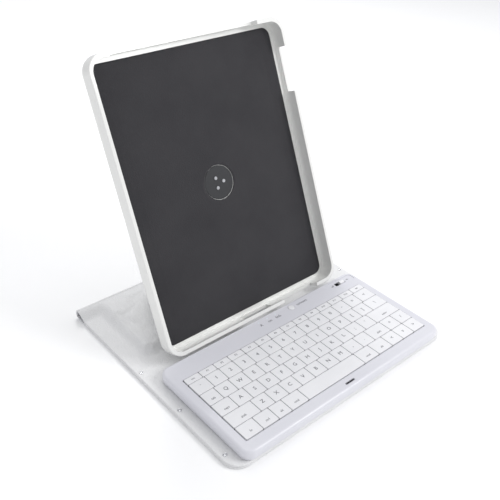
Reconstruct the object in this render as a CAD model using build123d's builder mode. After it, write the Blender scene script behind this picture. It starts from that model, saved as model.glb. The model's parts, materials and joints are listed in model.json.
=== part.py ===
from build123d import *
import os
from math import cos, hypot, radians, sin

# Tablet keyboard case, in millimetres.
# X runs along the keyboard, +Y points to the spine at the back, +Z is up.
# The origin is on the table, under the middle of the case's box.

os.makedirs("parts", exist_ok=True)

# ---------------------------------------------------------------- driving sizes
# Folio: two leather-covered panels joined by a rolled spine
PANEL_W = 246.0
PANEL_FRONT = -113.5
PANEL_REAR = 98.0
PANEL_CORNER = 14.0
LEATHER = 0.8
BOARD = 0.8
BOARD_INSET = 6.0
UNDER_SKIN = 0.4
PANEL = LEATHER + BOARD + UNDER_SKIN
PANEL_GAP = 0.2
SPINE_CREST = 10.0
SPINE_Y = 110.0
SPINE_R = SPINE_CREST / 2
SPINE_T = 2.0
LID_REAR = 108.8
DECK_Z = 2 * PANEL + PANEL_GAP

# Padded rise behind the keyboard
PAD_X = 108.0
PAD_FRONT = 24.0
PAD_REAR = 97.5
PAD_H = 6.0
PAD_SLOPE = 5.0
PAD_CORNERS = (9.0, 6.0)

# Keyboard housing
KB_W = 226.0
KB_FRONT = -115.0
KB_REAR = -3.0
KB_CORNER = 9.0
KB_TAPE = 0.3
KB_SEAM = 8.6
KB_TOP = 14.2
KB_EDGE = 3.0
KB_STEP = 0.9
KB_WALL = 1.6
KB_RIM = 2.2
KB_FLOOR = 1.2
KB_DECK = 1.4
KB_FOOT_EDGE = 0.8
TAPE_INSET = 5.0
BOSS_X = (-107.0, -36.0, 36.0, 107.0)
BOSS_Y = (-108.0, -14.0)
BOSS_R = 2.4
KB_D = KB_REAR - KB_FRONT
KB_Y = (KB_REAR + KB_FRONT) / 2
KB_Z = DECK_Z + KB_TAPE

# Keys
FIELD_W = 208.0
FIELD_REAR = -25.0
ROW_PITCH = 14.25
UNITS = 14.0
UNIT = FIELD_W / UNITS
KEY_GAP = 0.6
KEY_TOP = 15.0
KEY_H = 2.1
KEY_WALL = 1.0
KEY_CORNER = 0.8
KEY_EDGE = 0.35
WELL_GAP = 0.5
WELL_CORNER = 1.2
PLATE_Z = 9.9
PLATE_T = 0.5
PLATE_MARGIN = 0.4
FILM_T = 0.4
FILM_MARGIN = 0.2
DOME_SHEET_T = 0.3
DOME_R = 2.4
DOME_TAPER = 0.6
DOME_TOP = 12.3

# Controls on the strip behind the keys
LIGHT_X = (-9.5, 0.5, 10.5)
LIGHT_Y = -8.6
LIGHT_R = 0.8
LIGHT_FOOT = 1.6
CONNECT = (28.5, -10.6)
CONNECT_R = 3.2
CONNECT_RISE = 0.5
CONNECT_GAP = 0.2
CONNECT_FLANGE = (1.2, 0.8)
CONNECT_EDGE = 0.8
BUTTON_Z = 11.0
SWITCH = (92.0, -11.6)
SWITCH_SLOT = (13.0, 4.4)
SLOT_CORNER = 1.2
SWITCH_TRAVEL = 5.2
SWITCH_BODY = (15.0, 6.0, 2.8)
KNOB = (6.0, 3.4)
KNOB_X = 94.6
KNOB_Z = 11.6
KNOB_RISE = 0.3
KNOB_CORNER = 0.8
KNOB_EDGE = 0.4
KNOB_FLANGE = (1.6, 0.9)
RECESS = (34.0, 9.0, 0.5)
RECESS_CORNER = 2.5
SOCKET_Y = -20.0
SOCKET = (9.2, 7.7, 3.9)
SOCKET_GAP = 0.2
SOCKET_SET_BACK = 1.2
SOCKET_WALL = 0.4
SOCKET_CORNER = 0.6
SOCKET_FLOOR = 1.0
SOCKET_TONGUE = (4.6, 0.9, 1.5)
LATCH_SLOT = (10.4, 2.2, 2.6)
LATCH_Y = -109.4
LATCH_CORNER = 0.8

# Electronics inside the housing
BOARD_Z = 7.4
BOARD_T = 1.0
CIRCUIT = (45.0, -12.6, 112.0, 13.4)
CIRCUIT_HOLE = (36.0, -14.0, 3.0)
BATTERY = (-66.0, -64.0, 62.0, 44.0, 3.6)
BATTERY_CORNER = 1.5
BATTERY_EDGE = 1.2
TACT = (5.0, 1.2)
TACT_STEM = (1.2, 0.5)

# Tray that holds the tablet
TABLET = (189.7, 242.8, 13.4)
TABLET_GAP = 0.9
DISPLAY = (47.8, 128.0)
LEAN = radians(23.26)
TRAY_W = 195.0
TRAY_H = 249.0
TRAY_R = 14.0
TRAY_BACK = 15.5
TRAY_LIP = 0.9
TRAY_EDGE = 5.5
TRAY_FLOOR = TABLET[2] + 0.3
POCKET = (TABLET[0] + TABLET_GAP, TABLET[1] + TABLET_GAP, 12.0)
LIP_UNDER = 0.1
LIP_OVER = 1.1
LINER_T = 0.4
LINER_INSET = 4.0
LINER_HOLE_GAP = 1.5
LIP_EDGE = 0.8
CUT_PAST = 2.0
CUT_INTO = 3.0
TOP_OPENING = (-77.0, 69.0, -7.0)
SIDE_OPENING = (58.0, 98.0, -9.0)
SPEAKER_OPENING = (29.0, 71.0, -9.0)
DOCK_OPENING = (-16.0, 16.0, -11.0, -3.0)
TAB_V = (-6.0, 3.0)
TAB = (3.8, 2.0, -9.0)
TAB_HOOK = (1.4, 1.2)
TAB_EDGE = 0.5

# Swivel and tilt joint behind the tray
DISC_R = 34.0
DISC_T = 1.8
DISC_GAP = 0.2
HUB_R = 7.9
CAP_R = 14.7
CAP_T = 0.75
CAP_RECESS_GAP = 0.1
CAP_SIDE_GAP = 0.3
HUB_GAP = 0.2
CAP_SCREW_PCR = 5.0
CAP_SCREW_COUNT = 3
CAP_SCREW = (0.8, 1.5, 0.5)
CAP_SCREW_FLOOR = 1.0
RUN = 0.05
PIVOT_W = 22.6
BRACKET = (50.0, 36.0, 1.5)
BRACKET_CORNER = 3.0
BRACKET_SCREW_AT = (20.0, 13.0)
BRACKET_SCREW_BITE = 1.1
EAR_R = 3.2
EAR_X = (15.5, 24.5)
EAR_GAP = 0.5
PIN_R = 1.5

# Stand
HINGE = (91.0, 15.2)
STAND_W = 120.0
STAND_T = 3.2
STAND_START = 5.0
FOOT_KNUCKLES = ((-54.0, -42.0), (-6.0, 6.0), (42.0, 54.0))
STAND_KNUCKLES = ((-41.5, -6.5), (6.5, 41.5))
KNUCKLE_R = 3.0
FOOT_T = 1.5
FOOT_INSET = 2.0
FOOT_CORNER = 2.0
FOOT_SCREW_AT = (24.0, 4.2)
RISER = (124.0, 14.0)
RISER_GAP = 0.2
RISER_FLOOR = 0.8
STAND_SKIN_T = 1.0
STAND_SKIN_OVER = 2.0
STAND_CORNER = 8.0

# Fasteners
SCREW_R = 1.0
SCREW_HEAD_R = 1.9
SCREW_HEAD_H = 0.8
HOUSING_SCREW_L = 6.8
HOUSING_SCREW_HOLE = 3.4
FOOT_SCREW_START = 1.0
STUD_R = 1.9
STUD_SHANK_R = 1.3
STUD_RISE = 0.5
STUD_Y = (12.5, -41.0, -97.0)
STUD_X = 119.0

# ---------------------------------------------------------------- derived frames
TRAY = Plane(origin=(0, DISPLAY[0], DISPLAY[1]), x_dir=(1, 0, 0), z_dir=(0, -cos(LEAN), sin(LEAN)))
PIVOT = (DISPLAY[0] + PIVOT_W * cos(LEAN), DISPLAY[1] - PIVOT_W * sin(LEAN))
STAND_L = hypot(PIVOT[0] - HINGE[0], PIVOT[1] - HINGE[1])
STAND_DIR = ((PIVOT[0] - HINGE[0]) / STAND_L, (PIVOT[1] - HINGE[1]) / STAND_L)
STAND = Plane(origin=(0, HINGE[0], HINGE[1]), x_dir=(1, 0, 0), z_dir=(0, -STAND_DIR[1], STAND_DIR[0]))
PAD_Z = DECK_Z + PAD_H


def save(piece, label):
    """Label a finished sub-part and write it as parts/LABEL.step."""
    piece.part.label = label
    export_step(piece.part, f"parts/{label}.step")


def panel_outline(z, rear, inset=0.0):
    """Panel outline at height z: round front corners, square rear corners."""
    half = PANEL_W / 2 - inset
    front = PANEL_FRONT + inset
    with BuildSketch(Plane.XY.offset(z)) as outline:
        with Locations((0, (front + rear) / 2)):
            Rectangle(2 * half, rear - front)
        fillet(outline.vertices().group_by(Axis.Y)[0], PANEL_CORNER - inset)
    return outline.sketch


# ---------------------------------------------------------------- folio panels
def panel(bottom, rear, names):
    """One folio panel: pocketed under skin, stiff board in the pocket, leather on top."""
    board_z = bottom + UNDER_SKIN
    top_z = board_z + BOARD
    with BuildPart() as under:
        extrude(panel_outline(bottom, rear), amount=UNDER_SKIN + BOARD)
        extrude(panel_outline(board_z, rear - BOARD_INSET, BOARD_INSET), amount=BOARD, mode=Mode.SUBTRACT)
    with BuildPart() as board:
        extrude(panel_outline(board_z, rear - BOARD_INSET - RUN, BOARD_INSET + RUN), amount=BOARD)
    with BuildPart() as leather:
        extrude(panel_outline(top_z, rear), amount=LEATHER)
        if bottom > 0:
            with Locations(*[(side * STUD_X, y) for side in (-1, 1) for y in STUD_Y]):
                Hole(radius=STUD_SHANK_R)
    for piece, name in zip((under, board, leather), names):
        save(piece, name)


panel(PANEL + PANEL_GAP, PANEL_REAR, ("base_under_skin", "base_board", "base_top_leather"))
panel(0.0, LID_REAR, ("lid_under_skin", "lid_board", "lid_top_leather"))

# Spine: the leather rolls over the back edge in a loop and comes back under the base
with BuildPart() as spine_leather:
    with BuildSketch(Plane.YZ.offset(-PANEL_W / 2)):
        with BuildLine():
            Spline((PANEL_REAR, DECK_Z), (SPINE_Y, SPINE_CREST), tangents=((1, 0), (1, 0)))
            ThreePointArc((SPINE_Y, SPINE_CREST), (SPINE_Y + SPINE_R, SPINE_R), (SPINE_Y, 0))
            Line((SPINE_Y, 0), (SPINE_Y, SPINE_T))
            ThreePointArc(
                (SPINE_Y, SPINE_T), (SPINE_Y + SPINE_R - SPINE_T, SPINE_R), (SPINE_Y, SPINE_CREST - SPINE_T)
            )
            Spline(
                (SPINE_Y, SPINE_CREST - SPINE_T), (PANEL_REAR, DECK_Z - PANEL), tangents=((-1, 0), (-1, 0))
            )
            Line((PANEL_REAR, DECK_Z - PANEL), (PANEL_REAR, DECK_Z))
        make_face()
    extrude(amount=PANEL_W)
save(spine_leather, "spine_leather")

# Rivets along both side edges, through the top leather only
with BuildPart() as edge_studs:
    for side in (-1, 1):
        for y in STUD_Y:
            with BuildSketch(Plane.XY.offset(DECK_Z)):
                with Locations((side * STUD_X, y)):
                    Circle(STUD_R)
            extrude(amount=STUD_RISE)
            with BuildSketch(Plane.XY.offset(DECK_Z - LEATHER)):
                with Locations((side * STUD_X, y)):
                    Circle(STUD_SHANK_R - RUN)
            extrude(amount=LEATHER)
save(edge_studs, "edge_studs")

# Padded rise, notched round the riser that carries the stand
with BuildPart() as rise_pad:
    with BuildSketch(Plane.XY.offset(DECK_Z)):
        with Locations((0, (PAD_FRONT + PAD_REAR) / 2)):
            RectangleRounded(2 * PAD_X, PAD_REAR - PAD_FRONT, PAD_CORNERS[0])
    with BuildSketch(Plane.XY.offset(PAD_Z)):
        with Locations((0, (PAD_FRONT + PAD_REAR) / 2)):
            RectangleRounded(
                2 * (PAD_X - PAD_SLOPE), PAD_REAR - PAD_FRONT - 2 * PAD_SLOPE, PAD_CORNERS[1]
            )
    loft()
    with BuildSketch(Plane.XY.offset(DECK_Z)):
        with Locations((0, PAD_REAR - RISER[1] / 2)):
            Rectangle(RISER[0] + 2 * RISER_GAP, RISER[1] + 2 * RISER_GAP)
    extrude(amount=PAD_H, mode=Mode.SUBTRACT)
save(rise_pad, "rise_pad")

RISER_Y = PAD_REAR - RISER[1] / 2
FOOT_SCREWS = [
    (side * FOOT_SCREW_AT[0], RISER_Y + end * FOOT_SCREW_AT[1]) for side in (-1, 1) for end in (-1, 1)
]

with BuildPart() as stand_riser:
    with BuildSketch(Plane.XY.offset(DECK_Z)):
        with Locations((0, RISER_Y)):
            Rectangle(*RISER)
    extrude(amount=PAD_H)
    with BuildSketch(Plane.XY.offset(DECK_Z + RISER_FLOOR)):
        with Locations(*FOOT_SCREWS):
            Circle(SCREW_R + RUN)
    extrude(amount=PAD_H, mode=Mode.SUBTRACT)
save(stand_riser, "stand_riser")


# ---------------------------------------------------------------- keyboard housing
def keyboard_outline(z, inset):
    """Outline of the keyboard housing at height z, shrunk by inset on every side."""
    with BuildSketch(Plane.XY.offset(z)) as outline:
        with Locations((0, KB_Y)):
            RectangleRounded(KB_W - 2 * inset, KB_D - 2 * inset, KB_CORNER - inset)
    return outline.sketch


with BuildPart() as keyboard_tape:
    extrude(keyboard_outline(DECK_Z, TAPE_INSET), amount=KB_TAPE)
save(keyboard_tape, "keyboard_tape")

BOSSES = [(x, y) for x in BOSS_X for y in BOSS_Y]
FLOOR_Z = KB_Z + KB_FLOOR

with BuildPart() as bottom_shell:
    extrude(keyboard_outline(KB_Z, KB_STEP), amount=KB_SEAM - KB_Z)
    fillet(bottom_shell.edges().group_by(Axis.Z)[0], KB_FOOT_EDGE)
    extrude(keyboard_outline(FLOOR_Z, KB_STEP + KB_WALL), amount=KB_SEAM - FLOOR_Z, mode=Mode.SUBTRACT)
    with BuildSketch(Plane.XY.offset(FLOOR_Z)):
        with Locations(*BOSSES):
            Circle(BOSS_R)
    extrude(amount=KB_SEAM - FLOOR_Z)
    with BuildSketch(Plane.XY.offset(KB_Z)):
        with Locations(*BOSSES):
            Circle(SCREW_R + RUN)
    extrude(amount=KB_SEAM - KB_Z, mode=Mode.SUBTRACT)
    with BuildSketch(Plane.XY.offset(KB_Z)):
        with Locations(*BOSSES):
            Circle(SCREW_HEAD_R + RUN)
    extrude(amount=SCREW_HEAD_H, mode=Mode.SUBTRACT)
    with BuildSketch(Plane.XY.offset(FLOOR_Z)):
        with Locations((KB_W / 2 - SOCKET[0] / 2, SOCKET_Y)):
            Rectangle(SOCKET[0] + CUT_PAST, SOCKET[1] + SOCKET_GAP)
    extrude(amount=KB_SEAM - FLOOR_Z, mode=Mode.SUBTRACT)
save(bottom_shell, "keyboard_bottom_shell")

FIELD_D = 5.5 * ROW_PITCH
FIELD_Y = FIELD_REAR - FIELD_D / 2

with BuildPart() as top_shell:
    extrude(keyboard_outline(KB_SEAM, 0.0), amount=KB_TOP - KB_SEAM)
    fillet(top_shell.edges().group_by(Axis.Z)[-1], KB_EDGE)
    extrude(keyboard_outline(KB_SEAM, KB_RIM), amount=KB_TOP - KB_SEAM - KB_DECK, mode=Mode.SUBTRACT)
    with BuildSketch(Plane.XY.offset(KB_SEAM)):
        with Locations(*BOSSES):
            Circle(BOSS_R)
    extrude(amount=KB_TOP - KB_SEAM - KB_DECK)
    with BuildSketch(Plane.XY.offset(KB_SEAM)):
        with Locations(*BOSSES):
            Circle(SCREW_R + RUN)
    extrude(amount=HOUSING_SCREW_HOLE, mode=Mode.SUBTRACT)
    with BuildSketch(Plane.XY.offset(KB_SEAM)):
        with Locations((0, FIELD_Y)):
            RectangleRounded(FIELD_W + 2 * WELL_GAP, FIELD_D + 2 * WELL_GAP, WELL_CORNER)
    extrude(amount=KB_TOP, mode=Mode.SUBTRACT)
    with BuildSketch(Plane.XY.offset(KB_TOP - RECESS[2])):
        with Locations(SWITCH):
            RectangleRounded(RECESS[0], RECESS[1], RECESS_CORNER)
    extrude(amount=RECESS[2], mode=Mode.SUBTRACT)
    with BuildSketch(Plane.XY.offset(KB_SEAM)):
        with Locations(SWITCH):
            RectangleRounded(*SWITCH_SLOT, SLOT_CORNER)
        with Locations(CONNECT):
            Circle(CONNECT_R + CONNECT_GAP)
        with Locations(*[(x, LIGHT_Y) for x in LIGHT_X]):
            Circle(LIGHT_R + RUN)
    extrude(amount=KB_TOP, mode=Mode.SUBTRACT)
    with BuildSketch(Plane.XY.offset(KB_TOP - LATCH_SLOT[2])):
        with Locations((0, LATCH_Y)):
            RectangleRounded(LATCH_SLOT[0], LATCH_SLOT[1], LATCH_CORNER)
    extrude(amount=LATCH_SLOT[2], mode=Mode.SUBTRACT)
    with BuildSketch(Plane.XY.offset(KB_SEAM)):
        with Locations((KB_W / 2 - SOCKET[0] / 2, SOCKET_Y)):
            Rectangle(SOCKET[0] + CUT_PAST, SOCKET[1] + SOCKET_GAP)
    extrude(amount=FLOOR_Z + SOCKET[2] + SOCKET_GAP / 2 - KB_SEAM, mode=Mode.SUBTRACT)
save(top_shell, "keyboard_top_shell")

with BuildPart() as keyboard_screws:
    with BuildSketch(Plane.XY.offset(KB_Z)):
        with Locations(*BOSSES):
            Circle(SCREW_HEAD_R)
    extrude(amount=SCREW_HEAD_H - RUN)
    with BuildSketch(Plane.XY.offset(KB_Z)):
        with Locations(*BOSSES):
            Circle(SCREW_R)
    extrude(amount=HOUSING_SCREW_L)
save(keyboard_screws, "keyboard_screws")


# ---------------------------------------------------------------- key switch stack
def field_outline(z, margin):
    """Flat rectangle under the whole key field, at height z."""
    with BuildSketch(Plane.XY.offset(z)) as outline:
        with Locations((0, FIELD_Y)):
            Rectangle(FIELD_W + 2 * margin, FIELD_D + 2 * margin)
    return outline.sketch


FILM_Z = PLATE_Z + PLATE_T
DOME_Z = FILM_Z + FILM_T

with BuildPart() as key_plate:
    extrude(field_outline(PLATE_Z, PLATE_MARGIN), amount=PLATE_T)
save(key_plate, "key_plate")

with BuildPart() as contact_film:
    extrude(field_outline(FILM_Z, FILM_MARGIN), amount=FILM_T)
save(contact_film, "contact_film")

# Rows from the rear: name of the row's own node, height in rows, and runs of keys as
# (how many, width in key units, node name when the key has a node of its own)
LETTER = 0.98
ROWS = [
    ("function_keys", 0.5, [(14, 1.0, None)]),
    ("number_keys", 1.0, [(1, 1.05, None), (12, LETTER, None), (1, 1.19, "backspace_key")]),
    ("upper_letter_keys", 1.0, [(1, 0.92, "tab_key"), (12, LETTER, None), (1, 1.32, None)]),
    ("home_letter_keys", 1.0, [(1, 1.14, "caps_key"), (11, LETTER, None), (1, 2.08, "enter_key")]),
    (
        "lower_letter_keys",
        1.0,
        [(1, 1.82, "left_shift_key"), (9, LETTER, None), (1, 1.4, "right_shift_key"), (1, LETTER, "up_key"),
         (1, LETTER, None)],
    ),
    (
        "modifier_keys",
        1.0,
        [(1, 1.14, None), (1, 1.06, None), (1, 0.9, None), (1, 1.2, None), (1, 4.4, "space_key"),
         (1, 1.2, None), (1, 1.16, None), (1, LETTER, "left_key"), (1, LETTER, "down_key"),
         (1, LETTER, "right_key")],
    ),
]


def key_places():
    """Every key as (node name, centre x, centre y, width, depth)."""
    places = []
    rear = FIELD_REAR
    for row_name, rows_high, runs in ROWS:
        left = -FIELD_W / 2
        depth = rows_high * ROW_PITCH
        for count, units, own_name in runs:
            for _ in range(count):
                width = units * UNIT
                places.append((own_name or row_name, left + width / 2, rear - depth / 2, width, depth))
                left += width
        rear -= depth
    return places


KEYS = key_places()

with BuildPart() as dome_sheet:
    extrude(field_outline(DOME_Z, 0.0), amount=DOME_SHEET_T)
    with Locations(*[(x, y, (DOME_Z + DOME_TOP) / 2) for _, x, y, _, _ in KEYS]):
        Cone(DOME_R, DOME_R - DOME_TAPER, DOME_TOP - DOME_Z)
save(dome_sheet, "dome_sheet")


def keycap(x, y, width, depth):
    """Hollow keycap: filleted top, open underside."""
    with BuildPart() as cap:
        with BuildSketch(Plane.XY.offset(KEY_TOP - KEY_H)):
            with Locations((x, y)):
                RectangleRounded(width - KEY_GAP, depth - KEY_GAP, KEY_CORNER)
        extrude(amount=KEY_H)
        fillet(cap.edges().group_by(Axis.Z)[-1], KEY_EDGE)
        with BuildSketch(Plane.XY.offset(KEY_TOP - KEY_H)):
            with Locations((x, y)):
                Rectangle(width - KEY_GAP - 2 * KEY_WALL, depth - KEY_GAP - 2 * KEY_WALL)
        extrude(amount=KEY_H - KEY_WALL, mode=Mode.SUBTRACT)
    return cap.part


for node in dict.fromkeys(key[0] for key in KEYS):
    with BuildPart() as key_group:
        for _, x, y, width, depth in [key for key in KEYS if key[0] == node]:
            add(keycap(x, y, width, depth))
    save(key_group, node)

# ---------------------------------------------------------------- electronics
with BuildPart() as circuit_board:
    with BuildSketch(Plane.XY.offset(BOARD_Z)):
        with Locations(CIRCUIT[:2]):
            Rectangle(*CIRCUIT[2:])
        with Locations(CIRCUIT_HOLE[:2]):
            Circle(CIRCUIT_HOLE[2], mode=Mode.SUBTRACT)
    extrude(amount=BOARD_T)
save(circuit_board, "circuit_board")

with BuildPart() as battery:
    with BuildSketch(Plane.XY.offset(FLOOR_Z)):
        with Locations(BATTERY[:2]):
            RectangleRounded(*BATTERY[2:4], BATTERY_CORNER)
    extrude(amount=BATTERY[4])
    fillet(battery.edges().filter_by(Axis.X), BATTERY_EDGE)
save(battery, "battery")

SOCKET_X = KB_W / 2 - SOCKET_SET_BACK - SOCKET[0]
with BuildPart() as charging_socket:
    with BuildSketch(Plane.YZ.offset(SOCKET_X)):
        with Locations((SOCKET_Y, FLOOR_Z + SOCKET[2] / 2)):
            RectangleRounded(SOCKET[1], SOCKET[2], SOCKET_CORNER)
    extrude(amount=SOCKET[0])
    with BuildSketch(Plane.YZ.offset(SOCKET_X + SOCKET_FLOOR)):
        with Locations((SOCKET_Y, FLOOR_Z + SOCKET[2] / 2)):
            RectangleRounded(
                SOCKET[1] - 2 * SOCKET_WALL, SOCKET[2] - 2 * SOCKET_WALL, SOCKET_CORNER - SOCKET_WALL / 2
            )
    extrude(amount=SOCKET[0], mode=Mode.SUBTRACT)
    with BuildSketch(Plane.YZ.offset(SOCKET_X)):
        with Locations((SOCKET_Y, FLOOR_Z + SOCKET[2] / 2)):
            Rectangle(*SOCKET_TONGUE[:2])
    extrude(amount=SOCKET[0] - SOCKET_TONGUE[2])
save(charging_socket, "charging_socket")

with BuildPart() as light_pipes:
    for x in LIGHT_X:
        with BuildSketch(Plane.XY.offset(BOARD_Z + LIGHT_FOOT)):
            with Locations((x, LIGHT_Y)):
                Circle(LIGHT_R)
        extrude(amount=KB_TOP - BOARD_Z - LIGHT_FOOT)
save(light_pipes, "light_pipes")

with BuildPart() as connect_button:
    with BuildSketch(Plane.XY.offset(BUTTON_Z)):
        with Locations(CONNECT):
            Circle(CONNECT_R)
    extrude(amount=KB_TOP + CONNECT_RISE - BUTTON_Z)
    fillet(connect_button.edges().group_by(Axis.Z)[-1], CONNECT_EDGE)
    with BuildSketch(Plane.XY.offset(BUTTON_Z)):
        with Locations(CONNECT):
            Circle(CONNECT_R + CONNECT_FLANGE[0])
    extrude(amount=CONNECT_FLANGE[1])
save(connect_button, "connect_button")

with BuildPart() as connect_switch:
    with BuildSketch(Plane.XY.offset(BOARD_Z + BOARD_T)):
        with Locations(CONNECT):
            Rectangle(TACT[0], TACT[0])
    extrude(amount=TACT[1])
    with BuildSketch(Plane.XY.offset(BOARD_Z + BOARD_T + TACT[1])):
        with Locations(CONNECT):
            Circle(TACT_STEM[0])
    extrude(amount=TACT_STEM[1])
save(connect_switch, "connect_switch")

with BuildPart() as power_knob:
    with BuildSketch(Plane.XY.offset(KNOB_Z)):
        with Locations((KNOB_X, SWITCH[1])):
            RectangleRounded(*KNOB, KNOB_CORNER)
    extrude(amount=KB_TOP + KNOB_RISE - KNOB_Z)
    fillet(power_knob.edges().group_by(Axis.Z)[-1], KNOB_EDGE)
    with BuildSketch(Plane.XY.offset(KNOB_Z)):
        with Locations((KNOB_X, SWITCH[1])):
            Rectangle(KNOB[0], SWITCH_SLOT[1] + KNOB_FLANGE[0])
    extrude(amount=KNOB_FLANGE[1])
save(power_knob, "power_knob")

with BuildPart() as power_switch:
    with BuildSketch(Plane.XY.offset(BOARD_Z + BOARD_T)):
        with Locations((KNOB_X - SWITCH_TRAVEL / 2, SWITCH[1])):
            Rectangle(*SWITCH_BODY[:2])
    extrude(amount=SWITCH_BODY[2])
save(power_switch, "power_switch")

# ---------------------------------------------------------------- stand
def barrel(spans, centre, radius):
    """Round bars along X over the given spans, on an axis at centre in Y and Z."""
    with BuildPart() as bars:
        for start, end in spans:
            with BuildSketch(Plane.YZ.offset(start)):
                with Locations(centre):
                    Circle(radius)
            extrude(amount=end - start)
    return bars.part


def bore(centre):
    """Running hole for a hinge pin, along X through the whole stand."""
    return barrel(((-STAND_W, STAND_W),), centre, PIN_R + RUN)


with BuildPart() as hinge_foot:
    with BuildSketch(Plane.XY.offset(PAD_Z)):
        with Locations((0, RISER_Y)):
            RectangleRounded(STAND_W - 2 * FOOT_INSET, RISER[1] - 1, FOOT_CORNER)
    extrude(amount=FOOT_T)
    add(barrel(FOOT_KNUCKLES, HINGE, KNUCKLE_R))
    for start, end in FOOT_KNUCKLES:
        with BuildSketch(Plane.XY.offset(PAD_Z)):
            with Locations(((start + end) / 2, HINGE[0])):
                Rectangle(end - start, 2 * KNUCKLE_R)
        extrude(amount=HINGE[1] - PAD_Z)
    add(bore(HINGE), mode=Mode.SUBTRACT)
    with BuildSketch(Plane.XY.offset(PAD_Z)):
        with Locations(*FOOT_SCREWS):
            Circle(SCREW_R + RUN)
    extrude(amount=FOOT_T, mode=Mode.SUBTRACT)
    with BuildSketch(Plane.XY.offset(PAD_Z + FOOT_T - SCREW_HEAD_H)):
        with Locations(*FOOT_SCREWS):
            Circle(SCREW_HEAD_R + RUN)
    extrude(amount=SCREW_HEAD_H, mode=Mode.SUBTRACT)
save(hinge_foot, "hinge_foot")

with BuildPart() as foot_screws:
    with BuildSketch(Plane.XY.offset(PAD_Z + FOOT_T - SCREW_HEAD_H)):
        with Locations(*FOOT_SCREWS):
            Circle(SCREW_HEAD_R)
    extrude(amount=SCREW_HEAD_H)
    with BuildSketch(Plane.XY.offset(DECK_Z + FOOT_SCREW_START)):
        with Locations(*FOOT_SCREWS):
            Circle(SCREW_R)
    extrude(amount=PAD_H + FOOT_T - SCREW_HEAD_H - FOOT_SCREW_START)
save(foot_screws, "foot_screws")

with BuildPart() as stand_plate:
    with BuildSketch(STAND.offset(-STAND_T / 2)):
        with Locations((0, STAND_L / 2)):
            RectangleRounded(STAND_W, STAND_L - 2 * STAND_START, STAND_CORNER)
        for start, end in STAND_KNUCKLES:
            with Locations(((start + end) / 2, STAND_START)):
                Rectangle(end - start, 2 * STAND_START)
        with Locations((0, STAND_L - STAND_START)):
            Rectangle(2 * (EAR_X[0] - EAR_GAP), 2 * STAND_START)
    extrude(amount=STAND_T)
    add(barrel(STAND_KNUCKLES, HINGE, KNUCKLE_R))
    add(barrel(((-EAR_X[0] + EAR_GAP, EAR_X[0] - EAR_GAP),), PIVOT, EAR_R))
    add(bore(HINGE), mode=Mode.SUBTRACT)
    add(bore(PIVOT), mode=Mode.SUBTRACT)
save(stand_plate, "stand_plate")

with BuildPart() as stand_leather:
    with BuildSketch(STAND.offset(-STAND_T / 2 - STAND_SKIN_T)):
        with Locations((0, STAND_L / 2)):
            RectangleRounded(
                STAND_W + 2 * STAND_SKIN_OVER, STAND_L - 2 * (STAND_START + STAND_SKIN_OVER), STAND_CORNER
            )
    extrude(amount=STAND_SKIN_T)
save(stand_leather, "stand_leather")

with BuildPart() as hinge_pin:
    add(barrel(((FOOT_KNUCKLES[0][0], FOOT_KNUCKLES[-1][1]),), HINGE, PIN_R))
save(hinge_pin, "hinge_pin")

with BuildPart() as tilt_pin:
    add(barrel(((-EAR_X[1], EAR_X[1]),), PIVOT, PIN_R))
save(tilt_pin, "tilt_pin")

# ---------------------------------------------------------------- tray
def tray_box(along, up, floor, top=CUT_PAST):
    """Box in the tray's own frame: along is its X span, up its span up the tray, floor..top its depth."""
    with BuildPart() as box:
        with BuildSketch(TRAY.offset(floor)):
            with Locations((sum(along) / 2, sum(up) / 2)):
                Rectangle(along[1] - along[0], up[1] - up[0])
        extrude(amount=top - floor)
    return box.part


TRAY_AXIS = Axis(TRAY.origin, TRAY.z_dir)
DISC_BACK = TRAY_BACK + DISC_GAP + DISC_T
BRACKET_BACK = DISC_BACK + BRACKET[2]
CAP_FLOOR = TRAY_FLOOR + CAP_T + CAP_RECESS_GAP
TOP_WALL = (POCKET[1] / 2 - CUT_INTO, TRAY_H / 2 + CUT_PAST)
FOOT_WALL = (-TRAY_H / 2 - CUT_PAST, -POCKET[1] / 2 + CUT_INTO)
RIGHT_WALL = (POCKET[0] / 2 - CUT_INTO, TRAY_W / 2 + CUT_PAST)

with BuildPart() as tray_shell:
    with BuildSketch(TRAY.offset(-TRAY_BACK)):
        RectangleRounded(TRAY_W, TRAY_H, TRAY_R)
    extrude(amount=TRAY_BACK + TRAY_LIP)
    fillet(tray_shell.edges().group_by(TRAY_AXIS)[0], TRAY_EDGE)
    fillet(tray_shell.edges().group_by(TRAY_AXIS)[-1], LIP_EDGE)
    with BuildSketch(TRAY.offset(-TRAY_FLOOR)):
        RectangleRounded(*POCKET)
    extrude(amount=TRAY_FLOOR + LIP_UNDER, mode=Mode.SUBTRACT)
    with BuildSketch(TRAY):
        RectangleRounded(POCKET[0] - 2 * LIP_OVER, POCKET[1] - 2 * LIP_OVER, POCKET[2] - LIP_OVER)
    extrude(amount=TRAY_LIP + 1, mode=Mode.SUBTRACT)
    add(tray_box(TOP_OPENING[:2], TOP_WALL, TOP_OPENING[2]), mode=Mode.SUBTRACT)
    add(tray_box(RIGHT_WALL, SIDE_OPENING[:2], SIDE_OPENING[2]), mode=Mode.SUBTRACT)
    add(tray_box(SPEAKER_OPENING[:2], FOOT_WALL, SPEAKER_OPENING[2]), mode=Mode.SUBTRACT)
    add(tray_box(DOCK_OPENING[:2], FOOT_WALL, *DOCK_OPENING[2:]), mode=Mode.SUBTRACT)
    with BuildSketch(TRAY.offset(-TRAY_BACK)):
        Circle(HUB_R + HUB_GAP)
    extrude(amount=TRAY_BACK - TRAY_FLOOR + 1, mode=Mode.SUBTRACT)
    with BuildSketch(TRAY.offset(-CAP_FLOOR)):
        Circle(CAP_R + CAP_SIDE_GAP)
    extrude(amount=CUT_PAST, mode=Mode.SUBTRACT)
save(tray_shell, "tray_shell")

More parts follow.
